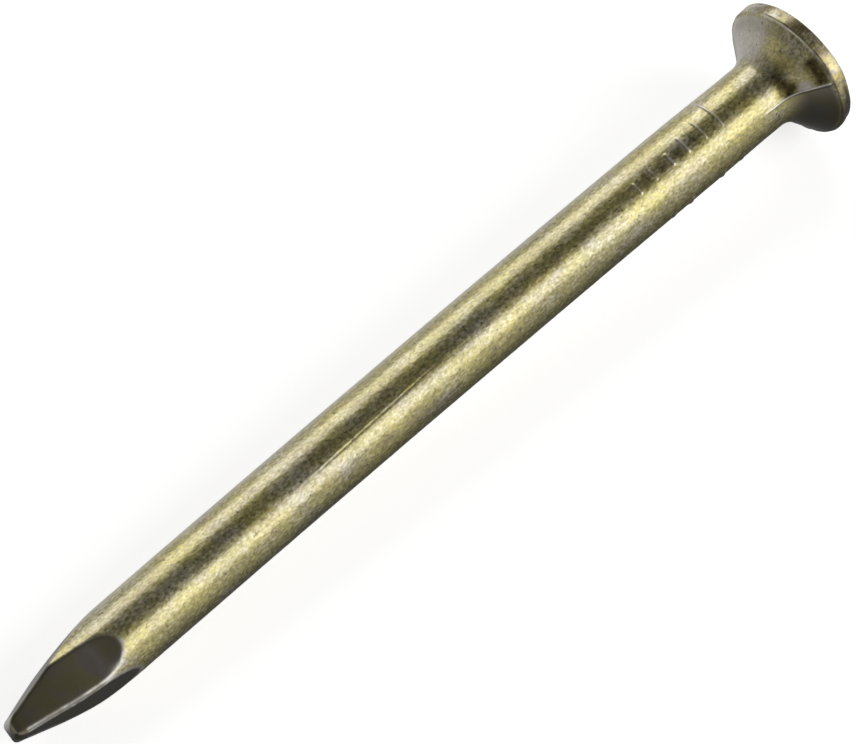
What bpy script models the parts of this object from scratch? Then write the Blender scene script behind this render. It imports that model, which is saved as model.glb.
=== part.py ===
"""Wire nail with a thick round head, a countersunk underside and a diamond point.

The nail is one piece of cold-formed wire. It lies along X: the centre of the flat striking face is
the origin, +X points out of that face, and the point is at X = -OVERALL_LENGTH. Metres, +Z up.
"Depth" below is the distance from the striking face, towards the point.
"""

import math

import bmesh
import bpy
from mathutils import Vector

# ---------------------------------------------------------------- driving dimensions, metres
OVERALL_LENGTH = 0.0500
SHANK_DIAMETER = 0.0035
HEAD_DIAMETER = 2.0 * SHANK_DIAMETER

# Head: a nearly cylindrical rim, a small step left by the dies, and a cone that sweeps into the neck.
FACE_EDGE_DROP = 0.00006       # how much smaller the striking face is than the rim, on the radius
FACE_EDGE_DEPTH = 0.00012      # depth at which the rim reaches its full radius
RIM_DEPTH = 0.00058            # where the rim's straight land ends
RIM_LOWER_DROP = 0.00012       # how far the rim's lower edge rolls in
STEP_DEPTH = 0.00070           # where the rim meets the underside
STEP_WIDTH = 0.00006           # ledge between the rim and the cone
CONE_START_DEPTH = 0.00073
CONE_END_RADIUS = 0.664 * SHANK_DIAMETER
CONE_END_DEPTH = 0.00152
NECK_RADIUS = 0.483 * SHANK_DIAMETER
NECK_DEPTH = 0.00265           # where the concave sweep reaches the neck
NECK_END_DEPTH = 0.00400       # where the neck starts to swell to the shank's full radius
NECK_SWELL_LENGTH = 0.00090

# Gripper-die marks: short raised arcs, on two opposite sides of the shank just below the neck.
DIE_TURN = math.radians(57.86)  # middle of the first die's side, from +Y towards +Z
GRIP_COUNT = 6
GRIP_FIRST_DEPTH = 0.00560
GRIP_PITCH = 0.00104
GRIP_HEIGHT = 0.00005
GRIP_HALF_WIDTH = 0.00018
GRIP_HALF_ANGLE = math.radians(70.0)

# Parting-line flash: a fine ridge on each side where the two gripper dies met.
FLASH_HEIGHT = 0.00005
FLASH_HALF_ANGLE = math.radians(1.4)

# Diamond point: four gently convex facets that end in a small blunt nose.
FACET_TURN = math.radians(25.4)  # outward direction of the first facet, from +Y towards +Z
POINT_LENGTH = 0.00620
NOSE_HALF_WIDTH = 0.00031        # half width of the flat nose
NOSE_ROUND_DEPTH = 0.00012       # length of the rounding behind the nose
FACET_START_HALF = 0.00048       # half width across flats just behind the rounding
FACET_SLOPE = 0.325              # growth of the half width with length, just behind the nose
PINCH_LAND = 0.00014             # width of the narrow flat along each ridge between facets
POINT_STATIONS = 11

# Mesh fineness
# Columns around each die's half. With DIE_TURN, one flat faces straight down. The flats are wide
# enough to hold the nail at rest in the settle test, where 34 and 24 columns let it turn too far.
COLUMNS_PER_SIDE = 14
ROUND_STATIONS = 6


def smooth_step(share):
    """Ease from 0 to 1 with level ends."""
    share = min(max(share, 0.0), 1.0)
    return share * share * (3.0 - 2.0 * share)


def blank_profile():
    """(depth, radius) pairs of the turned shape, from the striking face to past the point."""
    rim = HEAD_DIAMETER / 2.0
    shank = SHANK_DIAMETER / 2.0
    profile = [(0.0, rim - FACE_EDGE_DROP)]
    profile.append((FACE_EDGE_DEPTH * 0.35, rim - FACE_EDGE_DROP * 0.3))
    profile.append((FACE_EDGE_DEPTH, rim))
    for i in range(1, ROUND_STATIONS):
        turn = math.pi / 2.0 * i / (ROUND_STATIONS - 1)
        depth = RIM_DEPTH + (STEP_DEPTH - RIM_DEPTH) * math.sin(turn)
        profile.append((depth, rim - RIM_LOWER_DROP * (1.0 - math.cos(turn))))
    profile.insert(3, (RIM_DEPTH, rim))
    cone_start = rim - RIM_LOWER_DROP - STEP_WIDTH
    profile.append((CONE_START_DEPTH, cone_start))
    profile.append((CONE_END_DEPTH, CONE_END_RADIUS))
    profile += cone_to_neck(cone_start)
    profile.append((NECK_END_DEPTH, NECK_RADIUS))
    profile.append((NECK_END_DEPTH + NECK_SWELL_LENGTH, shank))
    for i in range(GRIP_COUNT):
        middle = GRIP_FIRST_DEPTH + i * GRIP_PITCH
        profile += [(middle + side * GRIP_HALF_WIDTH, shank) for side in (-1.0, 0.0, 1.0)]
    profile.append((OVERALL_LENGTH - 1.5 * POINT_LENGTH, shank))
    profile.append((OVERALL_LENGTH + SHANK_DIAMETER, shank))
    return profile


def cone_to_neck(cone_start):
    """Concave sweep: a quadratic curve tangent to the cone and to the neck."""
    slope = (CONE_END_RADIUS - cone_start) / (CONE_END_DEPTH - CONE_START_DEPTH)
    corner = CONE_END_DEPTH + (NECK_RADIUS - CONE_END_RADIUS) / slope
    start = Vector((CONE_END_DEPTH, CONE_END_RADIUS))
    middle = Vector((corner, NECK_RADIUS))
    end = Vector((NECK_DEPTH, NECK_RADIUS))
    points = []
    for i in range(1, ROUND_STATIONS + 1):
        t = i / ROUND_STATIONS
        p = start * (1.0 - t) ** 2 + middle * 2.0 * t * (1.0 - t) + end * t ** 2
        points.append((p.x, p.y))
    return points


def column_angles():
    """Angles around the nail, closer together beside the two parting lines."""
    angles = []
    for half in range(2):
        parting = DIE_TURN + math.pi / 2.0 + half * math.pi
        angles.append(parting)
        angles.append(parting + FLASH_HALF_ANGLE)
        for i in range(1, COLUMNS_PER_SIDE):
            angles.append(parting + math.pi * i / COLUMNS_PER_SIDE)
        angles.append(parting + math.pi - FLASH_HALF_ANGLE)
    return angles


def grip_rise(depth, angle):
    """Height of the gripper marks: full at the middle of each die's side, nothing near its ends."""
    nearest = round((depth - GRIP_FIRST_DEPTH) / GRIP_PITCH)
    nearest = min(max(nearest, 0), GRIP_COUNT - 1)
    along = abs(depth - GRIP_FIRST_DEPTH - nearest * GRIP_PITCH) / GRIP_HALF_WIDTH
    off_middle = math.acos(min(abs(math.cos(angle - DIE_TURN)), 1.0))
    around = smooth_step(2.5 * (1.0 - off_middle / GRIP_HALF_ANGLE))
    return GRIP_HEIGHT * max(1.0 - along, 0.0) * around


def flash_rise(depth, angle):
    """Height of the parting-line flash, along the head's underside and the neck."""
    off_parting = math.acos(min(abs(math.sin(angle - DIE_TURN)), 1.0))
    if off_parting > FLASH_HALF_ANGLE / 2.0:
        return 0.0
    fade_in = smooth_step((depth - STEP_DEPTH) / (CONE_END_DEPTH - STEP_DEPTH))
    fade_out = smooth_step((NECK_END_DEPTH - depth) / (NECK_END_DEPTH - NECK_DEPTH))
    return FLASH_HEIGHT * fade_in * fade_out


def on_nail(depth, radius, angle):
    """World position of a point at a depth, a radius and an angle from +Y towards +Z."""
    return Vector((-depth, radius * math.cos(angle), radius * math.sin(angle)))


def closed_tube(name, rings):
    """Object skinned over closed rings of points, with a flat cap on each end."""
    bm = bmesh.new()
    loops = [[bm.verts.new(point) for point in ring] for ring in rings]
    count = len(loops[0])
    for near, far in zip(loops, loops[1:]):
        for i in range(count):
            j = (i + 1) % count
            bm.faces.new((near[i], near[j], far[j], far[i]))
    bm.faces.new(loops[0])
    bm.faces.new(loops[-1])
    bmesh.ops.recalc_face_normals(bm, faces=bm.faces)
    mesh = bpy.data.meshes.new(name)
    bm.to_mesh(mesh)
    bm.free()
    mesh.shade_smooth()
    mesh.set_sharp_from_angle(angle=math.radians(32.0))
    obj = bpy.data.objects.new(name, mesh)
    bpy.context.collection.objects.link(obj)
    return obj


def make_blank():
    """Head, neck, gripper marks and a full round shank that runs on past the point."""
    angles = column_angles()
    rings = []
    for depth, radius in blank_profile():
        ring = []
        for angle in angles:
            rise = grip_rise(depth, angle) + flash_rise(depth, angle)
            ring.append(on_nail(depth, radius + rise, angle))
        rings.append(ring)
    return closed_tube("nail", rings)


def facet_half_width(back):
    """Half width across flats at a distance back from the nose: an ogive that ends on the shank."""
    shank = SHANK_DIAMETER / 2.0
    run = POINT_LENGTH - NOSE_ROUND_DEPTH
    curve = (FACET_START_HALF + FACET_SLOPE * run - shank) / run ** 2
    along = back - NOSE_ROUND_DEPTH
    return FACET_START_HALF + FACET_SLOPE * along - curve * along ** 2


def former_ring(depth, half):
    """Square with narrow flats on its corners, turned so that its sides face as the facets do."""
    corner = half - PINCH_LAND / math.sqrt(2.0)
    outline = [(half, corner), (corner, half)]
    ring = []
    for quarter in range(4):
        for across, along in outline:
            radius = math.hypot(across, along)
            angle = math.atan2(along, across) + quarter * math.pi / 2.0 + FACET_TURN
            ring.append(on_nail(depth, radius, angle))
    return ring


def make_point_former():
    """Guide solid that the blank is trimmed to: the diamond point, then room for the rest."""
    rings = [former_ring(OVERALL_LENGTH, NOSE_HALF_WIDTH)]
    rings.append(former_ring(OVERALL_LENGTH - NOSE_ROUND_DEPTH * 0.35, FACET_START_HALF * 0.88))
    for i in range(POINT_STATIONS):
        back = NOSE_ROUND_DEPTH + (POINT_LENGTH - NOSE_ROUND_DEPTH) * i / (POINT_STATIONS - 1)
        rings.append(former_ring(OVERALL_LENGTH - back, facet_half_width(back)))
    rings.append(former_ring(OVERALL_LENGTH - 1.5 * POINT_LENGTH, HEAD_DIAMETER))
    rings.append(former_ring(-SHANK_DIAMETER, HEAD_DIAMETER))
    former = closed_tube("point_former", rings)
    former.hide_render = True
    former.display_type = "WIRE"
    return former


def coated_steel():
    """Satin olive-gold coating over steel."""
    material = bpy.data.materials.new("olive_gold_coated_steel")
    material.use_nodes = True
    shader = material.node_tree.nodes["Principled BSDF"]
    shader.inputs["Base Color"].default_value = (0.42, 0.34, 0.17, 1.0)
    shader.inputs["Metallic"].default_value = 1.0
    shader.inputs["Roughness"].default_value = 0.38
    return material


for old in list(bpy.data.objects):
    bpy.data.objects.remove(old, do_unlink=True)

nail = make_blank()
nail.data.materials.append(coated_steel())
trim = nail.modifiers.new("point_facets", "BOOLEAN")
trim.operation = "INTERSECT"
trim.solver = "EXACT"
trim.object = make_point_former()
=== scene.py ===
"""A thick coated wire nail, lying on a pale floor.

The nail is one mesh, made of rings of points around its axis. The rings follow its turned outline, and
each point is then moved along the surface's normal for die marks, flash, dents and grain; the rings
near the tip are trimmed to the point's facets first. Lengths named below are in millimetres. "Depth"
is the distance from the striking face towards the point, and "back" is the distance from the tip.
"Side" is the angle around the nail in degrees, from the side that faces the camera; it grows towards
the lower right of the picture.
"""

import math

import bpy
import numpy as np
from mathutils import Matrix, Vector


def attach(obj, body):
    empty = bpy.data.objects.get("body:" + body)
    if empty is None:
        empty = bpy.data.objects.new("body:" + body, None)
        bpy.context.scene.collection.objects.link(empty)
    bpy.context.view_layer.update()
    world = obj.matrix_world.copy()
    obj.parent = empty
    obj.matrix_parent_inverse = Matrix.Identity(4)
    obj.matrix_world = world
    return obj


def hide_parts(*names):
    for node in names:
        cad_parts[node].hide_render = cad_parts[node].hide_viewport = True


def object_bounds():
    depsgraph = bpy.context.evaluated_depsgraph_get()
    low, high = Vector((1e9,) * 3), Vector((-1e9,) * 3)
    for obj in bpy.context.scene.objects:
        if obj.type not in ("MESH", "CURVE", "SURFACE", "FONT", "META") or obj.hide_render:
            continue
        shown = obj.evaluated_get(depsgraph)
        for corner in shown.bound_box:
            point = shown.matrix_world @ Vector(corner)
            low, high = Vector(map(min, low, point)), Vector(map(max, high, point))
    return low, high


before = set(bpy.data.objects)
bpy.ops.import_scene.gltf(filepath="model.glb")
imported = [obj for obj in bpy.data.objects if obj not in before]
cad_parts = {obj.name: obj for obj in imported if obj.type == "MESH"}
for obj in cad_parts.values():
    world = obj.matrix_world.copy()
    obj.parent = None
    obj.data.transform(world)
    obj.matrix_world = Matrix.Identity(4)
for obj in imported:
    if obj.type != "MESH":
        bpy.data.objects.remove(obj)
cad_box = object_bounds()

MM = 0.001
LENGTH = (cad_box[1].x - cad_box[0].x) / MM
HEAD_RADIUS = (cad_box[1].z - cad_box[0].z) / MM / 2.0
SHANK_RADIUS = HEAD_RADIUS / 2.0
NEAR_SIDE_TURN = 115.4       # direction of side 0, in degrees from +Y towards +Z

# ---------------------------------------------------------------- outline, as depths and radii
FACE_EDGE_ROUND = 0.09
RIM_LAND_DEPTH = 0.56
STEP_DEPTH = 0.70
STEP_RADIUS = HEAD_RADIUS - 0.11
CONE_START = (0.73, HEAD_RADIUS - 0.18)
CONE_END = (1.52, 2.32)
NECK_RADIUS = 1.69
NECK_DEPTH = 2.65
NECK_END_DEPTH = 3.9
SWELL_END_DEPTH = 7.0        # where the neck has swollen to the shank's full radius
GRIP_END_DEPTH = 12.5
RIM_RADIUS = 3.2             # the rim's marks begin here, and are full 0.2 mm further out
RIM_INSET = 0.03             # how far the hammered rim lies inside its outline
ROLLED_DROP = 0.03           # extra roll of the rim's lower edge, where it isn't sharp
FACE_ROLL = 0.17             # extra roll of the striking face's edge
FACE_ROLL_DEPTH = 0.55       # how far down the rim that roll reaches
FACE_ROLL_RADIUS = 2.4       # where on the face it begins, to be full one millimetre further out
POINT_DEPTH = LENGTH - 7.2
NOSE_ROUND = 0.50            # length of the rounding at the tip
NOSE_TAPER = 0.22            # how much the nose narrows over that length, in line with the facets
NOSE_DEPTH = LENGTH - NOSE_ROUND
NOSE_POWER = 2.8             # 2 would be an ellipse, and more is blunter
NOSE_STEPS = 9
COLUMNS = 256
# Spacing of the rings
FACE_SPACING = 0.12
RIM_SPACING = 0.04
LEDGE_SPACING = 0.035
FINE_SPACING = 0.045         # on the cone, the swell, the gripper marks and the point
NECK_SPACING = 0.06
PLAIN_SPACING = 0.12         # on the plain part of the shank
ROUND_COUNT = 6              # rings on the rounding of the striking face's edge
ROLL_COUNT = 7               # rings on the roll of the rim's lower edge
SWEEP_COUNT = 30             # rings on the sweep from the cone to the neck

# ---------------------------------------------------------------- marks left by the two gripper dies
PARTING_SIDES = (31.0, 211.0)
# Each mark: depth, side of its middle, half angle, share of the full height
GRIPS = ((5.62, -35.0, 40.0, 1.0), (6.65, -19.0, 21.0, 0.8), (7.75, -17.0, 18.0, 1.0),
         (8.74, -12.0, 13.0, 0.9), (9.85, -10.0, 11.0, 0.6), (10.9, -9.0, 12.0, 0.9),
         (5.2, 92.0, 28.0, 0.6), (6.45, 92.0, 28.0, 1.0), (8.5, 92.0, 30.0, 1.1),
         (9.6, 92.0, 26.0, 0.7), (7.3, 140.0, 30.0, 0.9), (6.65, -150.0, 24.0, 0.8),
         (8.74, -155.0, 20.0, 0.8))
GRIP_SHADE_SPOTS = ((7.2, -12.0), (8.25, -10.0), (9.3, -8.0), (10.35, -7.0))   # depth and side of each painted shade spot between the gripper marks
GRIP_HEIGHT = 0.045
GRIP_WIDTH = 0.05
FLASH_HEIGHT = 0.05
FLASH_WIDTH = 0.05
SHARP_RIM_SIDE = -10.0       # the rim is sharp around this side and the opposite one
SHARP_RIM_HALF_ANGLE = 47.0
SHARP_RIM_FADE = 9.0
SECOND_DIE_DEPTH = 2.6       # where the step between the two dies ends on the neck
DIE_STEP = 0.035             # how far the second die's side of the neck lies below the first's
DIMPLE = (2.08, 21.0)        # depth and side of its middle
DIMPLE_SIZE = (0.24, 8.0)
DIMPLE_DROP = 0.10

# ---------------------------------------------------------------- groove scored by the drawing die
DRAW_LINE = (23.0, 33.0)     # first and last depth
DRAW_LINE_SIDE = -3.5        # side of its first end
DRAW_LINE_TWIST = 1.0        # degrees per millimetre
GROOVE_DROP = 0.008
GROOVE_WIDTH = 0.045
LIP_HEIGHT = 0.005
LIP_OFFSET = 0.07            # from the middle of the groove to the raised lip beside it
LIP_WIDTH = 0.04

# ---------------------------------------------------------------- roughness of the surface
# Each layer: height, spacing, seed
GRAIN = ((0.003, 0.22, 1), (0.0022, 0.12, 2))
WAVES = (0.007, 1.3, 3)
WAVE_STRETCH = 0.4           # below 1, the waves are longer along the nail than around it
HAMMER_MARKS = ((0.022, 0.7, 4), (0.010, 0.3, 5))
PRESSED_POLISH = 0.93        # share of the grain that a die takes away

# ---------------------------------------------------------------- where shapes and looks change
# Ranges of sides: side of the middle, half angle, and fade at each end, all in degrees
FACE_ROLL_RANGE = (95.0, 75.0, 30.0)
SILVER_RANGE = (-92.0, 62.0, 24.0)
GREY_RIM_RANGE = (105.0, 62.0, 20.0)
# Painted highlight on the point's ridges, strongest within this range
RIDGE_HIGHLIGHT_RANGE = (48.0, 62.0, 30.0)
# Painted shade on the pressed facets within this range
FACET_SHADE_RANGE = (-85.0, 50.0, 15.0)
# Bands of painted shade: share, depth, width, then the range of sides
SHADE_BANDS = ((0.85, 2.12, 0.36, 8.0, 27.0, 14.0),       # in the neck's corner
            (1.1, 0.92, 0.30, 17.0, 18.0, 8.0),        # beside the rim
            (0.3, 0.95, 0.26, -62.0, 50.0, 20.0))      # fainter, on the left
# Oval patches: depth and side of the middle, and the half sizes both ways
SILVER_PATCH = (1.50, 27.0)
SILVER_PATCH_SIZE = (0.27, 9.0)
# Painted highlight in the middle of the head's underside
UNDERSIDE_HIGHLIGHT = (1.55, -20.0)
UNDERSIDE_HIGHLIGHT_SIZE = (0.42, 17.0)
FACET_HIGHLIGHT = (LENGTH - 5.35, 31.0)                     # painted highlight where the near facet's back end meets the shank
FACET_HIGHLIGHT_SIZE = (0.42, 5.5)
# Half sizes of the painted shade's spots between the gripper marks and in the dimple
SHADE_SPOT_SIZE = (0.27, 7.0)
DIMPLE_SHADE_SIZE = (0.42, 10.0)
# Painted highlight on the rim
RIM_HIGHLIGHT_SIDE = 28.0
RIM_HIGHLIGHT_HALF_ANGLE = 15.0
SILVER_DEPTH = 2.5           # how far down the underside is silvered
EDGE_LINE_WIDTH = 0.022      # bare line along the rim's sharp lower edge

# ---------------------------------------------------------------- how far the nail is from straight
BOW = 0.16
BOW_SIDE = -90.0
HEAD_COCK = 1.2              # degrees
HEAD_COCK_SIDE = 90.0
HEAD_COCK_DEPTH = 1.5        # the lean is full down to here
HEAD_COCK_FADE = 2.0         # and gone this much further down

# ---------------------------------------------------------------- diamond point
# Each facet: the side it faces, and its half width across flats at FACET_BACKS from the tip.
FACET_BACKS = (0.0, 0.9, 1.75, 3.05, 4.35, 5.25, 6.1, 7.3)
NEAR_FACET = (2.0, (0.47, 0.80, 1.05, 1.29, 1.43, 1.53, 1.77, 2.30))
LEFT_FACET = (-91.6, (0.42, 0.68, 0.90, 1.215, 1.475, 1.62, 1.73, 1.90))
RIGHT_FACET = (71.0, (0.48, 0.765, 0.995, 1.30, 1.49, 1.57, 1.68, 1.95))
LOWER_FACET = (95.0, (0.44, 0.775, 1.035, 1.40, 1.645, 1.73, 1.78, 1.95))
REAR_FACET = (182.0, (0.70, 0.98, 1.19, 1.42, 1.57, 1.66, 1.77, 2.00))
FACETS = (NEAR_FACET, LEFT_FACET, RIGHT_FACET, LOWER_FACET, REAR_FACET)
# Narrow lands where two facets would meet: the two facets, and how deep the corner is cut off.
LANDS = ((NEAR_FACET, LEFT_FACET, 0.05), (NEAR_FACET, RIGHT_FACET, 0.06))
RIDGE_ROUND = 0.022
RIDGE_WEAR = 0.035           # how close to a ridge its wear starts
LEAST_LEAN = 0.2             # cosine below which a facet is turned away from a place
NOSE_SLANT = 0.08            # how far back the nose runs per millimetre towards side -90
NOSE_SLANT_MIDDLE = 0.2
NOSE_REACH = 0.10            # how far the worn nose runs past the nominal length
NOSE_SLANT_LENGTH = 1.4


def smooth_step(value):
    """Ease from 0 to 1 with level ends."""
    value = np.clip(value, 0.0, 1.0)
    return value * value * (3.0 - 2.0 * value)


def bump(distance, width):
    """Bell curve, 1 where the distance is 0."""
    return np.exp(-(distance / width) ** 2)


def angle_off(side, middle):
    """Degrees between two sides, from -180 to 180."""
    return (side - middle + 180.0) % 360.0 - 180.0


def within(side, middle, half_angle, fade):
    """1 within a range of sides, easing to 0 at its ends."""
    return smooth_step((half_angle - np.abs(angle_off(side, middle))) / fade)


def spot(depth, side, middle, size):
    """Soft oval patch: its middle and its half size, each as depth and side."""
    return bump(depth - middle[0], size[0]) * bump(angle_off(side, middle[1]), size[1])


def value_noise(points, size, seed):
    """Smooth random field from -1 to 1, with lumps about size across."""
    grid = points / size
    cell = np.floor(grid).astype(np.int64)
    ease = smooth_step(grid - cell)
    total = np.zeros(points.shape[:-1])
    for corner in np.ndindex(2, 2, 2):
        weight = np.prod(np.where(corner, ease, 1.0 - ease), axis=-1)
        at = cell + corner
        mixed = at[..., 0] * 73856093 ^ at[..., 1] * 19349663 ^ at[..., 2] * 83492791 ^ seed * 40503
        mixed = (mixed ^ mixed >> 13) * 1274126177 & 0x7FFFFFFF
        total += weight * ((mixed >> 8 & 0xFFFF) / 32767.5 - 1.0)
    return total


def smooth_curve(x, knots, values):
    """Smooth curve through a few points (Hermite, with slopes from the neighbours)."""
    knots, values = np.array(knots), np.array(values)
    slopes = np.gradient(values, knots)
    i = np.clip(np.searchsorted(knots, x) - 1, 0, len(knots) - 2)
    width = knots[i + 1] - knots[i]
    t = (x - knots[i]) / width
    start = (1 + 2 * t) * (1 - t) ** 2 * values[i] + t * (1 - t) ** 2 * width * slopes[i]
    return start + t * t * (3 - 2 * t) * values[i + 1] + t * t * (t - 1) * width * slopes[i + 1]


# ---------------------------------------------------------------- outline of the turned shape
def spaced(start, end, spacing):
    """Points from start up to, but not with, end."""
    count = max(1, round(math.dist(start, end) / spacing))
    return [tuple(np.array(start) + (np.array(end) - start) * i / count) for i in range(count)]


def quarter_round(start, end, count):
    """Quarter of an ellipse that leaves start along the depth and reaches end along the radius."""
    points = []
    for turn in np.linspace(0.0, math.pi / 2.0, count, endpoint=False):
        depth = start[0] + (end[0] - start[0]) * math.sin(turn)
        points.append((depth, end[1] + (start[1] - end[1]) * math.cos(turn)))
    return points


def outline():
    """(depth, radius) of each ring, from the middle of the striking face to the nose."""
    face_edge = (0.0, HEAD_RADIUS - FACE_EDGE_ROUND)
    rim_start = (FACE_EDGE_ROUND, HEAD_RADIUS)
    rim_end = (RIM_LAND_DEPTH, HEAD_RADIUS)
    step = (STEP_DEPTH, STEP_RADIUS)
    rings = spaced((0.0, 0.1), face_edge, FACE_SPACING)
    rings += quarter_round(rim_start, face_edge, ROUND_COUNT)[:0:-1]
    rings += spaced(rim_start, rim_end, RIM_SPACING)
    rings += quarter_round(rim_end, step, ROLL_COUNT)
    rings += spaced(step, CONE_START, LEDGE_SPACING)
    rings += spaced(CONE_START, CONE_END, FINE_SPACING)
    slope = (CONE_END[1] - CONE_START[1]) / (CONE_END[0] - CONE_START[0])
    corner = np.array((CONE_END[0] + (NECK_RADIUS - CONE_END[1]) / slope, NECK_RADIUS))
    neck = np.array((NECK_DEPTH, NECK_RADIUS))
    for t in np.linspace(0.0, 1.0, SWEEP_COUNT, endpoint=False):
        rings.append(tuple((1 - t) ** 2 * np.array(CONE_END) + 2 * t * (1 - t) * corner + t * t * neck))
    neck_end = (NECK_END_DEPTH, NECK_RADIUS)
    swell_end = (SWELL_END_DEPTH, SHANK_RADIUS)
    grip_end = (GRIP_END_DEPTH, SHANK_RADIUS)
    point_start = (POINT_DEPTH, SHANK_RADIUS)
    rings += spaced((NECK_DEPTH, NECK_RADIUS), neck_end, NECK_SPACING)
    rings += spaced(neck_end, swell_end, FINE_SPACING)
    rings += spaced(swell_end, grip_end, FINE_SPACING)
    rings += spaced(grip_end, point_start, PLAIN_SPACING)
    rings += spaced(point_start, (NOSE_DEPTH, SHANK_RADIUS), FINE_SPACING)
    return np.array(rings)


def outward(rings):
    """Unit normals of the outline."""
    along = np.gradient(rings, axis=0)
    normal = np.stack([-along[:, 1], along[:, 0]], axis=1)
    return normal / np.linalg.norm(normal, axis=1, keepdims=True)


# ---------------------------------------------------------------- shapes on the surface
def facet_planes(back):
    """(side faced, half width) of every facet and land, at each distance back from the tip."""
    planes = [(facing, smooth_curve(back, FACET_BACKS, halves)) for facing, halves in FACETS]
    for first, second, cut in LANDS:
        spread = angle_off(second[0], first[0])
        corner = sum(smooth_curve(back, FACET_BACKS, halves) for facing, halves in (first, second))
        corner = corner / (2.0 * math.cos(math.radians(spread / 2.0)))
        planes.append((first[0] + spread / 2.0, corner - cut))
    return planes


def point_shape(depth, side):
    """Radius of the pointed part, and how near each place is to a ridge, from 0 to 1."""
    reaches = [np.full(np.broadcast(depth, side).shape, SHANK_RADIUS)]
    for facing, half in facet_planes(LENGTH - depth):
        lean = np.cos(np.radians(angle_off(side, facing)))
        reach = half / np.maximum(lean, LEAST_LEAN)
        reaches.append(np.where(lean > LEAST_LEAN, reach, 5.0 * SHANK_RADIUS))
    reaches = np.sort(np.array(reaches), axis=0)
    lowest = reaches[0]
    radius = lowest - RIDGE_ROUND * np.log(np.exp((lowest - reaches) / RIDGE_ROUND).sum(axis=0))
    return radius, bump(reaches[1] - lowest, RIDGE_WEAR)


def grip_marks(depth, side):
    """Share of each point that lies on a thin raised arc left by the gripper dies."""
    share = np.zeros(np.broadcast(depth, side).shape)
    for middle_depth, middle, half_angle, height in GRIPS:
        around = within(side, middle, half_angle, half_angle / 3.0)
        share = share + around * height * bump(depth - middle_depth, GRIP_WIDTH)
    return share


def flash_lines(depth, side, radius):
    """Share of each point that lies on the ridges where the two gripper dies met."""
    share = np.zeros(np.broadcast(depth, side).shape)
    reach = smooth_step((depth - STEP_DEPTH) / 0.1) * smooth_step(NECK_END_DEPTH - depth)
    for parting in PARTING_SIDES:
        off = np.radians(angle_off(side, parting)) * radius
        share = share + reach * bump(off, FLASH_WIDTH)
    return share


def second_die(depth, side):
    """1 on the half of the neck and underside that the second gripper die formed."""
    half = within(side, PARTING_SIDES[0] + 90.0, 90.0, 2.0)
    return half * smooth_step((depth - STEP_DEPTH) / 0.08) * smooth_step((SECOND_DIE_DEPTH - depth) / 0.9)


def rim_share(depth, radius):
    """1 on the head's rim, 0 on the striking face and on the cone."""
    return smooth_step((radius - RIM_RADIUS) / 0.2) * smooth_step(depth / 0.1)


def sharp_rim(side):
    """1 where the rim keeps its sharp lower edge and flash, 0 where the dies rolled it round."""
    off = np.abs(angle_off(2.0 * side, 2.0 * SHARP_RIM_SIDE)) / 2.0
    return smooth_step((SHARP_RIM_HALF_ANGLE - off) / SHARP_RIM_FADE)


def face_roll(depth, radius, side):
    """Share of the extra roll at the striking face's edge."""
    near_edge = smooth_step(radius - FACE_ROLL_RADIUS) * smooth_step(1.0 - depth / FACE_ROLL_DEPTH)
    return within(side, *FACE_ROLL_RANGE) * near_edge


def draw_line(depth, side, radius):
    """Fine groove with a raised lip, scored along the shank by the drawing die."""
    middle = DRAW_LINE_SIDE + (depth - DRAW_LINE[0]) * DRAW_LINE_TWIST
    off = np.radians(angle_off(side, middle)) * radius
    reach = smooth_step((depth - DRAW_LINE[0]) / 2.0) * smooth_step((DRAW_LINE[1] - depth) / 2.0)
    return reach * bump(off, GROOVE_WIDTH), reach * bump(off + LIP_OFFSET, LIP_WIDTH)


def painted_shade_marks(depth, side):
    """Painted shade in the neck's corner, beside the rim and fainter on the left, in spots between the
    gripper marks, and darkest in the small dimple beside the parting.
    """
    bands = sum(share * bump(depth - middle, width) * within(side, *reach)
                for share, middle, width, *reach in SHADE_BANDS)
    shade_spots = sum(spot(depth, side, middle, SHADE_SPOT_SIZE) for middle in GRIP_SHADE_SPOTS)
    dimple_shade = spot(depth, side, DIMPLE, DIMPLE_SHADE_SIZE)
    return np.clip(bands + 0.5 * shade_spots + dimple_shade, 0.0, 1.0)


def silvered(depth, side):
    """Head's underside where the coating is rubbed through to silver."""
    under = smooth_step((depth - STEP_DEPTH) / 0.1) * smooth_step((SILVER_DEPTH - depth) / 0.6)
    patch = smooth_step(1.6 * spot(depth, side, SILVER_PATCH, SILVER_PATCH_SIZE) - 0.3)
    return np.clip(0.85 * under * within(side, *SILVER_RANGE) + patch, 0.0, 1.0)


def layer(at, height, spacing, seed):
    """One layer of bumps over the surface."""
    return height * value_noise(at, spacing, seed)


def on_nail(depth, radius, side):
    """Places in millimetres, from their depth, radius and side."""
    turn = np.radians(side + NEAR_SIDE_TURN)
    return np.stack([-depth, radius * np.cos(turn), radius * np.sin(turn)], axis=-1)


def texture(at, radius, on_rim, plain):
    """Height of the grain, the long waves and the rim's hammer marks. Dies leave little grain."""
    grain = sum(layer(at, *each) for each in GRAIN) * (1.0 - PRESSED_POLISH * plain)
    waves = layer(at * (WAVE_STRETCH, 1.0, 1.0), *WAVES)
    hammered = on_rim * sum(layer(at, *each) for each in HAMMER_MARKS)
    return (grain + waves) * smooth_step(radius) + hammered


def nose_rings(last):
    """Rings that round off the tip, shrunk from the last ring of the point."""
    rows = []
    for share in np.sin(np.linspace(0.0, math.pi / 2.0, NOSE_STEPS + 1)[1:]):
        rounding = (1.0 - share ** NOSE_POWER) ** (1.0 / NOSE_POWER)
        shrink = max(0.02, rounding * (1.0 - NOSE_TAPER * share))
        ring = last * (1.0, shrink, shrink)
        ring[:, 0] = -(NOSE_DEPTH + NOSE_ROUND * share)
        rows.append(ring)
    return np.array(rows)


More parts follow.
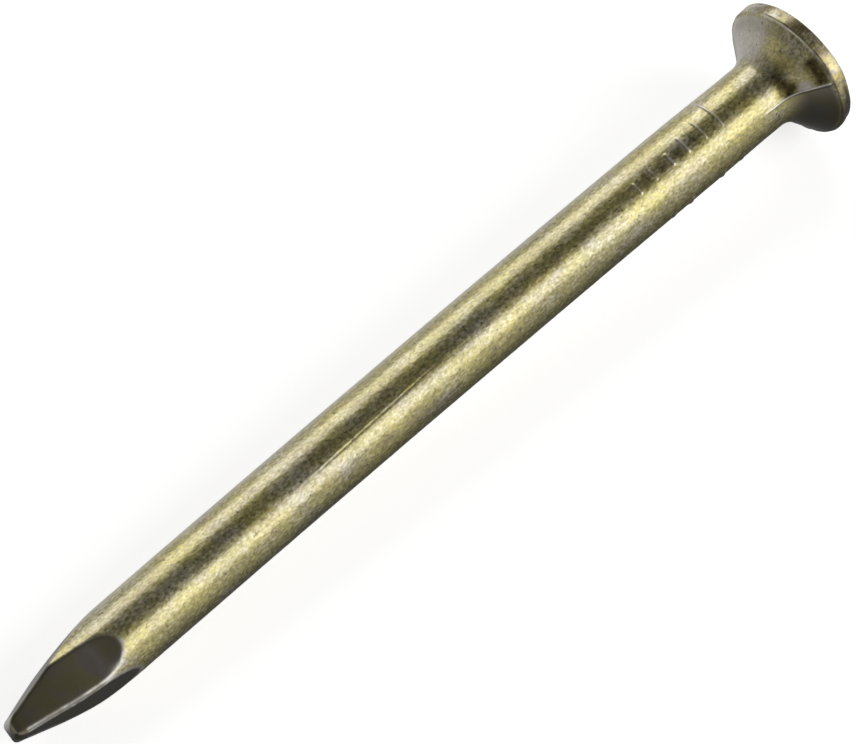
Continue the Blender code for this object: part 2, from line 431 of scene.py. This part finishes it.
def make_nail():
    """The whole nail, with what its material needs to know of each place stored as attributes."""
    rings = outline()
    normals = outward(rings)
    side = np.arange(COLUMNS) * 360.0 / COLUMNS
    depth, radius = rings[:, :1], rings[:, 1:]
    on_point = rings[:, 0] > POINT_DEPTH
    base = radius - FACE_ROLL * face_roll(depth, radius, side)
    ridge = np.zeros_like(base)
    base[on_point], ridge[on_point] = point_shape(depth[on_point], side)

    pressed = smooth_step((SHANK_RADIUS - base) / 0.05) * on_point[:, None]
    formed = second_die(depth, side)
    grips = grip_marks(depth, side)
    flash = flash_lines(depth, side, radius)
    groove, lip = draw_line(depth, side, radius)
    sharp = sharp_rim(side)
    on_rim = rim_share(depth, radius)
    rolled = on_rim * (1.0 - sharp) * smooth_step((depth - 0.15) / (STEP_DEPTH - 0.15)) ** 2

    rise = GRIP_HEIGHT * grips + FLASH_HEIGHT * flash + LIP_HEIGHT * lip
    rise = rise - DIE_STEP * formed - GROOVE_DROP * groove
    rise = rise - DIMPLE_DROP * spot(depth, side, DIMPLE, DIMPLE_SIZE)
    rise = rise - RIM_INSET * on_rim - ROLLED_DROP * rolled
    at = on_nail(depth + 0.0 * base, base, side)
    rise = rise + texture(at, radius, on_rim, np.maximum(pressed, formed))
    points = on_nail(depth + normals[:, :1] * rise, base + normals[:, 1:] * rise, side)

    edge_line = 0.8 * bump(depth - STEP_DEPTH + 0.01, EDGE_LINE_WIDTH) * sharp
    # Bare steel on the point's ridges is wear, made stronger within RIDGE_HIGHLIGHT_RANGE as a painted
    # highlight
    ridge = ridge * (0.3 + 0.7 * within(side, *RIDGE_HIGHLIGHT_RANGE))
    facet_highlight = spot(depth, side, FACET_HIGHLIGHT, FACET_HIGHLIGHT_SIZE)
    # Wear, and the painted highlights at the facet's back end and on the ridges, all as bare steel
    wear_and_highlight = np.maximum.reduce([0.9 * grips, flash, ridge, edge_line, facet_highlight])
    grey_rim = on_rim * within(side, *GREY_RIM_RANGE)
    # Painted shade on the pressed facets of the left side
    facet_shade = pressed * within(side, *FACET_SHADE_RANGE)
    # Painted shade: in corners, spots and the dimple, inside the drawing groove, and on the left facets
    painted_shade = painted_shade_marks(depth, side) + 0.3 * groove + 0.7 * facet_shade
    rim = on_rim * smooth_step((STEP_DEPTH + 0.03 - depth) / 0.05) + 0.0 * side
    rim_highlight = rim * bump(angle_off(side, RIM_HIGHLIGHT_SIDE), RIM_HIGHLIGHT_HALF_ANGLE)

    points = np.concatenate([points, nose_rings(points[-1])])
    ends = np.array([(0.0, 0.0, 0.0), (-LENGTH, 0.0, 0.0)])
    nail = skin("nail_body", bend(points), bend(ends))
    store(nail, "wear_and_highlight", np.clip(wear_and_highlight, 0.0, 1.0))
    store(nail, "smooth", np.maximum.reduce([pressed, formed, 0.6 * grey_rim]), 1.0)
    store(nail, "painted_shade", np.clip(painted_shade, 0.0, 1.0))
    store(nail, "silver", silvered(depth, side))
    store(nail, "rim", rim)
    store(nail, "painted_highlight", spot(depth, side, UNDERSIDE_HIGHLIGHT, UNDERSIDE_HIGHLIGHT_SIZE) + rim_highlight)
    return nail


def store(nail, name, values, at_nose=0.0):
    """Attribute from one value per place, then one for the whole nose; 0 in the middle of the face."""
    nose = np.full(NOSE_STEPS * COLUMNS, at_nose)
    attribute = nail.data.attributes.new(name, "FLOAT", "POINT")
    attribute.data.foreach_set("value", np.concatenate([values.ravel(), nose, (0.0, at_nose)]))


def bend(points):
    """Slant of the nose, lean of the head, and the bow of the whole nail."""
    points = points.copy()
    depth = -points[..., 0].copy()
    turn = math.radians(NEAR_SIDE_TURN + HEAD_COCK_SIDE)
    across = points[..., 1] * math.cos(turn) + points[..., 2] * math.sin(turn)
    near_tip = smooth_step(1.0 - (LENGTH - depth) / NOSE_SLANT_LENGTH)
    points[..., 0] += near_tip * (NOSE_SLANT * (NOSE_SLANT_MIDDLE - across) - NOSE_REACH)
    lean = math.radians(HEAD_COCK) * smooth_step(1.0 - (depth - HEAD_COCK_DEPTH) / HEAD_COCK_FADE)
    points[..., 0] += across * np.tan(lean)
    share = depth / LENGTH
    bow = BOW * 4.0 * share * (1.0 - share)
    turn = math.radians(NEAR_SIDE_TURN + BOW_SIDE)
    points[..., 1] += bow * math.cos(turn)
    points[..., 2] += bow * math.sin(turn)
    return points


def skin(name, points, ends):
    """Closed mesh over rings of points, with a fan to a middle point at each end."""
    rows, columns = points.shape[:2]
    vertices = np.concatenate([points.reshape(-1, 3), ends]) * MM
    index = np.arange(rows * columns).reshape(rows, columns)
    after = np.roll(index, -1, axis=1)
    quads = np.stack([index[:-1], after[:-1], after[1:], index[1:]], axis=-1).reshape(-1, 4)
    first, last = rows * columns, rows * columns + 1
    faces = quads.tolist()
    faces += [(first, int(after[0, j]), int(index[0, j])) for j in range(columns)]
    faces += [(last, int(index[-1, j]), int(after[-1, j])) for j in range(columns)]
    mesh = bpy.data.meshes.new(name)
    mesh.from_pydata(vertices.tolist(), [], faces)
    mesh.validate()
    mesh.shade_smooth()
    obj = bpy.data.objects.new(name, mesh)
    bpy.context.collection.objects.link(obj)
    return obj


# ---------------------------------------------------------------- material
class Nodes:
    """Short ways to add nodes to one material."""

    def __init__(self, material):
        """Start from the material's own shader."""
        material.use_nodes = True
        self.tree = material.node_tree
        self.shader = self.tree.nodes["Principled BSDF"]

    def feed(self, socket, value):
        """Link a value to a socket, or set the socket to it when it is a plain number or colour."""
        if isinstance(value, bpy.types.NodeSocket):
            self.tree.links.new(value, socket)
        else:
            socket.default_value = value

    def stretched(self, scale):
        """Position on the nail in millimetres, squeezed along each axis, with its zero off the nail."""
        coords = self.tree.nodes.new("ShaderNodeTexCoord")
        mapping = self.tree.nodes.new("ShaderNodeMapping")
        mapping.inputs["Location"].default_value = PATTERN_START
        mapping.inputs["Scale"].default_value = [factor / MM for factor in scale]
        self.feed(mapping.inputs["Vector"], coords.outputs["Object"])
        return mapping.outputs["Vector"]

    def noise(self, where, scale, detail=2.0, roughness=0.5):
        """Noise around 0.5, with about scale lumps to the millimetre."""
        noise = self.tree.nodes.new("ShaderNodeTexNoise")
        self.feed(noise.inputs["Vector"], where)
        noise.inputs["Scale"].default_value = scale
        noise.inputs["Detail"].default_value = detail
        noise.inputs["Roughness"].default_value = roughness
        return noise.outputs["Fac"]

    def attribute(self, name):
        """What make_nail stored under this name."""
        node = self.tree.nodes.new("ShaderNodeAttribute")
        node.attribute_name = name
        return node.outputs["Fac"]

    def spread(self, value, low, high, to_low=0.0, to_high=1.0):
        """Value taken from the range low..high to to_low..to_high, and clamped."""
        node = self.tree.nodes.new("ShaderNodeMapRange")
        self.feed(node.inputs["Value"], value)
        node.inputs["From Min"].default_value = low
        node.inputs["From Max"].default_value = high
        node.inputs["To Min"].default_value = to_low
        node.inputs["To Max"].default_value = to_high
        return node.outputs["Result"]

    def scaled(self, value, by, low, high, to_low, to_high):
        """Value times what spread makes of another one."""
        return self.math("MULTIPLY", value, self.spread(by, low, high, to_low, to_high))

    def math(self, operation, first, second):
        """Sum, product or larger of two numbers."""
        node = self.tree.nodes.new("ShaderNodeMath")
        node.operation = operation
        self.feed(node.inputs[0], first)
        self.feed(node.inputs[1], second)
        return node.outputs["Value"]

    def mix(self, share, first, second, blend="MIX"):
        """Mixed colour."""
        node = self.tree.nodes.new("ShaderNodeMixRGB")
        node.blend_type = blend
        self.feed(node.inputs["Fac"], share)
        self.feed(node.inputs["Color1"], first)
        self.feed(node.inputs["Color2"], second)
        return node.outputs["Color"]

    def between(self, share, first, second):
        """Number between first and second."""
        node = self.tree.nodes.new("ShaderNodeMix")
        self.feed(node.inputs["Factor"], share)
        self.feed(node.inputs["A"], first)
        self.feed(node.inputs["B"], second)
        return node.outputs["Result"]


PATTERN_START = (11.3, 7.7, 5.9)     # far enough to keep the noise's own zero off the nail
GOLD = (0.53, 0.46, 0.15, 1.0)
OLIVE = (0.43, 0.38, 0.14, 1.0)
LILAC_SILVER = (0.58, 0.545, 0.51, 1.0)
BRONZE = (0.40, 0.31, 0.17, 1.0)
# Bare steel, for wear and for painted glints and highlights
BARE_AND_GLINT_STEEL = (0.86, 0.84, 0.79, 1.0)
PRESSED_DARK = (0.15, 0.125, 0.055, 1.0)
PRESSED_VIOLET = (0.14, 0.122, 0.125, 1.0)
# Near black for the pits, and for painted shade
SHADE_AND_PIT_DARK = (0.035, 0.026, 0.012, 1.0)
RUST_BROWN = (0.17, 0.12, 0.05, 1.0)
# Lighter gold for painted highlights
HIGHLIGHT_GOLD = (0.84, 0.70, 0.25, 1.0)


def coat_colour(nodes, grain, silver):
    """Gold and olive in drifts, bronze in clouds, and silver where the coating is thin."""
    long_lumps = nodes.stretched((0.5, 1.0, 1.0))
    colour = nodes.mix(nodes.spread(nodes.noise(long_lumps, 0.6), 0.4, 0.6), GOLD, OLIVE)
    colour = nodes.mix(nodes.spread(nodes.noise(long_lumps, 1.2), 0.55, 0.70, 0.0, 0.5), colour, BRONZE)
    clouds = nodes.noise(long_lumps, 0.9, 3.0, 0.55)
    worn = nodes.math("ADD", clouds, nodes.spread(grain, 0.25, 0.75, -0.13, 0.13))
    worn = nodes.spread(worn, 0.48, 0.70, 0.0, 0.48)
    worn = nodes.math("MAXIMUM", worn, nodes.math("MULTIPLY", silver, 0.9))
    return nodes.mix(worn, colour, LILAC_SILVER)


def coat_tone(nodes, grain, mottle, streaks, plain):
    """Grey that lightens and darkens the coating, and is even where the coating is plain."""
    tone = nodes.spread(grain, 0.28, 0.72, 0.55, 1.36)
    tone = nodes.scaled(tone, mottle, 0.3, 0.7, 0.86, 1.12)
    tone = nodes.scaled(tone, streaks, 0.3, 0.7, 0.92, 1.06)
    tone = nodes.between(plain, tone, 1.0)
    grey = nodes.tree.nodes.new("ShaderNodeCombineColor")
    for socket in ("Red", "Green", "Blue"):
        nodes.feed(grey.inputs[socket], tone)
    return grey.outputs["Color"]


def pressed_colour(nodes, lumps, colour, smooth):
    """Dark and violet patches where a die pressed the surface smooth."""
    patches = nodes.spread(nodes.noise(lumps, 0.9), 0.42, 0.60)
    pressed = nodes.mix(patches, PRESSED_DARK, PRESSED_VIOLET)
    return nodes.mix(nodes.math("MULTIPLY", smooth, 0.88), colour, pressed)


def rim_colour(nodes, lumps, colour, rim):
    """Rust-brown patches and silver scratches on the head's rim."""
    patches = nodes.noise(lumps, 1.1, 3.0, 0.6)
    colour = nodes.mix(nodes.scaled(rim, patches, 0.45, 0.60, 0.8, 0.0), colour, RUST_BROWN)
    scratches = nodes.noise(nodes.stretched((2.5, 0.5, 1.6)), 1.3, 3.0)
    return nodes.mix(nodes.scaled(rim, scratches, 0.52, 0.62, 0.0, 0.7), colour, LILAC_SILVER)


def painted_glints(nodes, lumps, smooth, painted_shade):
    """Painted glints: share of bare-steel colour in tiny specks, with none where the surface is smooth or
    has painted shade.
    """
    glints = nodes.spread(nodes.noise(lumps, 9.0, 1.0), 0.60, 0.72, 0.0, 0.35)
    glints = nodes.scaled(glints, smooth, 0.0, 0.5, 1.0, 0.0)
    return nodes.scaled(glints, painted_shade, 0.0, 0.4, 1.0, 0.0)


def coating():
    """Olive-gold coating over drawn steel, worn to silver in places and dark where it was pressed, with
    painted shade, highlights and glints.
    """
    material = bpy.data.materials.new("olive_gold_coating")
    nodes = Nodes(material)
    inputs = nodes.shader.inputs
    lumps = nodes.stretched((1.0, 1.0, 1.0))
    grain = nodes.noise(nodes.stretched((0.6, 1.0, 1.0)), 8.0, 1.5, 0.6)
    mottle = nodes.noise(lumps, 3.6, 3.0, 0.6)
    streaks = nodes.noise(nodes.stretched((0.05, 1.0, 1.0)), 4.5, 3.0)
    stored = ("wear_and_highlight", "smooth", "painted_shade", "silver", "rim", "painted_highlight")
    wear_and_highlight, smooth, painted_shade, silver, rim, painted_highlight = [nodes.attribute(name) for name in stored]

    colour = coat_colour(nodes, grain, silver)
    plain = nodes.math("MAXIMUM", smooth, nodes.math("MULTIPLY", silver, 0.7))
    colour = nodes.mix(1.0, colour, coat_tone(nodes, grain, mottle, streaks, plain), "MULTIPLY")
    pits = nodes.spread(nodes.noise(lumps, 5.0, 1.0), 0.69, 0.75, 0.0, 0.7)
    colour = nodes.mix(pits, colour, SHADE_AND_PIT_DARK)
    colour = pressed_colour(nodes, lumps, colour, smooth)
    colour = rim_colour(nodes, lumps, colour, rim)
    # Painted highlight in lighter gold on the underside and the rim
    colour = nodes.mix(nodes.scaled(painted_highlight, mottle, 0.40, 0.58, 0.15, 0.85), colour, HIGHLIGHT_GOLD)
    # Painted shade, in near black broken by the mottle
    colour = nodes.mix(nodes.scaled(painted_shade, mottle, 0.35, 0.65, 1.0, 0.8), colour, SHADE_AND_PIT_DARK)
    # Painted glints as tiny bare-steel specks
    colour = nodes.mix(painted_glints(nodes, lumps, smooth, painted_shade), colour, BARE_AND_GLINT_STEEL)
    # Bare steel where worn, and as painted highlight
    bare_and_highlight = nodes.scaled(wear_and_highlight, nodes.noise(lumps, 2.2), 0.38, 0.60, 0.4, 1.0)
    nodes.feed(inputs["Base Color"], nodes.mix(bare_and_highlight, colour, BARE_AND_GLINT_STEEL))

    roughness = nodes.between(smooth, nodes.spread(grain, 0.3, 0.7, 0.34, 0.42), 0.24)
    nodes.feed(inputs["Roughness"], nodes.between(wear_and_highlight, roughness, 0.48))
    inputs["Metallic"].default_value = 1.0
    # The coat fades out where shade is painted
    nodes.feed(inputs["Coat Weight"], nodes.spread(painted_shade, 0.0, 0.8, 1.0, 0.0))
    inputs["Coat Roughness"].default_value = 0.18
    inputs["Coat IOR"].default_value = 1.7

    height = nodes.math("ADD", grain, nodes.math("MULTIPLY", streaks, 0.5))
    relief = nodes.tree.nodes.new("ShaderNodeBump")
    relief.inputs["Strength"].default_value = 0.7
    relief.inputs["Distance"].default_value = 0.010 * MM
    nodes.feed(relief.inputs["Height"], nodes.scaled(height, smooth, 0.0, 1.0, 1.0, 0.12))
    nodes.feed(inputs["Normal"], relief.outputs["Normal"])
    return material


# ---------------------------------------------------------------- stage
LIGHT_DISTANCE = 450.0       # from the nail's axis
LIGHT_LENGTH = 500.0
LIGHT_MIDDLE = 330.0         # how far beyond the head each light's middle lies
FLOOR_HALF_SIZE = 1500.0
FLOOR_RIM_DEPTH = 0.35       # where the floor touches the head's rim
FLOOR_SHANK_DEPTH = POINT_DEPTH + 1.0
FLOOR_GLOW = 0.68
CAMERA_AZIMUTH = -45.82
CAMERA_ELEVATION = 55.76
CAMERA_DISTANCE = 556.4
CAMERA_LENS = 526.3
PICTURE_SLANT = 40.39        # angle of the nail in the picture
TARGET_DEPTH = 23.763        # where along the nail the camera looks
TARGET_OFFSET = 0.204        # and how far off its axis
# Brightness of the studio's walls, by direction around the nail's axis in degrees from +Y towards +Z.
WALLS = ((-180, 0.66), (-163, 0.58), (-147, 0.30), (-127, 0.13), (-105, 0.08),
         (-82, 0.07), (-62, 0.16), (-48, 0.58), (-20, 0.62), (12, 0.50),
         (60, 0.20), (72, 0.09), (115, 0.09), (125, 0.30), (165, 0.66))


def strip_light(name, turn, spread, radiance):
    """Long softbox beside the nail: its direction around the nail's axis, and its width, in degrees."""
    distance, length = LIGHT_DISTANCE * MM, LIGHT_LENGTH * MM
    width = 2.0 * distance * math.tan(math.radians(spread / 2.0))
    data = bpy.data.lights.new(name, "AREA")
    data.shape = "RECTANGLE"
    data.size, data.size_y = length, width
    data.energy = radiance * math.pi * width * length
    light = bpy.data.objects.new(name, data)
    angle = math.radians(turn)
    light.location = (LIGHT_MIDDLE * MM, distance * math.cos(angle), distance * math.sin(angle))
    light.rotation_euler = (angle - math.pi / 2.0, 0.0, 0.0)
    light.visible_camera = False
    bpy.context.collection.objects.link(light)


def make_world():
    """Grey walls all around, whose brightness changes only around the nail's axis."""
    world = bpy.data.worlds.new("studio")
    bpy.context.scene.world = world
    world.use_nodes = True
    tree = world.node_tree
    tree.nodes.clear()
    link = tree.links.new
    coords = tree.nodes.new("ShaderNodeTexCoord")
    split = tree.nodes.new("ShaderNodeSeparateXYZ")
    turn = tree.nodes.new("ShaderNodeMath")
    turn.operation = "ARCTAN2"
    share = tree.nodes.new("ShaderNodeMapRange")
    share.inputs["From Min"].default_value = -math.pi
    share.inputs["From Max"].default_value = math.pi
    ramp = tree.nodes.new("ShaderNodeValToRGB")
    back = tree.nodes.new("ShaderNodeBackground")
    out = tree.nodes.new("ShaderNodeOutputWorld")
    link(coords.outputs["Generated"], split.inputs[0])
    link(split.outputs["Z"], turn.inputs[0])
    link(split.outputs["Y"], turn.inputs[1])
    link(turn.outputs[0], share.inputs["Value"])
    link(share.outputs["Result"], ramp.inputs["Fac"])
    link(ramp.outputs["Color"], back.inputs["Color"])
    link(back.outputs[0], out.inputs["Surface"])
    elements = ramp.color_ramp.elements
    while len(elements) < len(WALLS):
        elements.new(0.5)
    for element, (angle, level) in zip(elements, WALLS):
        element.position = (angle + 180.0) / 360.0
        element.color = (level, level, level, 1.0)


def make_floor():
    """Pale floor under the head's rim and the end of the shank, which the nail doesn't mirror."""
    rise = HEAD_RADIUS - SHANK_RADIUS
    slope = math.atan2(rise, FLOOR_SHANK_DEPTH - FLOOR_RIM_DEPTH)
    size = FLOOR_HALF_SIZE * MM
    mesh = bpy.data.meshes.new("floor")
    corners = [(-size, -size, 0), (size, -size, 0), (size, size, 0), (-size, size, 0)]
    mesh.from_pydata(corners, [], [(0, 1, 2, 3)])
    floor = bpy.data.objects.new("floor", mesh)
    floor.location = (-FLOOR_RIM_DEPTH * MM, 0.0, -HEAD_RADIUS * MM)
    floor.rotation_euler = (0.0, slope, 0.0)
    floor.visible_glossy = False
    floor.visible_shadow = False
    bpy.context.collection.objects.link(floor)
    material = bpy.data.materials.new("pale_floor")
    material.use_nodes = True
    shader = material.node_tree.nodes["Principled BSDF"]
    shader.inputs["Base Color"].default_value = (0.9, 0.9, 0.9, 1.0)
    shader.inputs["Roughness"].default_value = 1.0
    shader.inputs["Specular IOR Level"].default_value = 0.0
    shader.inputs["Emission Color"].default_value = (1.0, 1.0, 1.0, 1.0)
    shader.inputs["Emission Strength"].default_value = FLOOR_GLOW
    mesh.materials.append(material)


def make_camera():
    """Camera at the photo's viewpoint."""
    azimuth, elevation = math.radians(CAMERA_AZIMUTH), math.radians(CAMERA_ELEVATION)
    away = Vector((math.sin(azimuth) * math.cos(elevation), -math.cos(azimuth) * math.cos(elevation),
                   math.sin(elevation)))
    right = Vector((math.cos(azimuth), math.sin(azimuth), 0.0))
    slant = math.radians(PICTURE_SLANT)
    across = right * math.sin(slant) - away.cross(right) * math.cos(slant)
    target = Vector((-TARGET_DEPTH, 0.0, 0.0)) - across * TARGET_OFFSET
    data = bpy.data.cameras.new("camera")
    data.lens = CAMERA_LENS
    data.sensor_width = 36.0
    data.clip_start, data.clip_end = 0.01, 10.0
    camera = bpy.data.objects.new("camera", data)
    camera.location = (target + away * CAMERA_DISTANCE) * MM
    camera.rotation_euler = away.to_track_quat("Z", "Y").to_euler()
    bpy.context.collection.objects.link(camera)
    bpy.context.scene.camera = camera


make_camera()
make_world()
strip_light("rear_softbox", 38.0, 36.0, 1.72)
strip_light("front_softbox", 146.0, 38.0, 1.95)
make_floor()
nail = make_nail()
nail.data.materials.append(coating())
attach(nail, "root")
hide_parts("nail")
bpy.context.scene.view_settings.view_transform = "Standard"
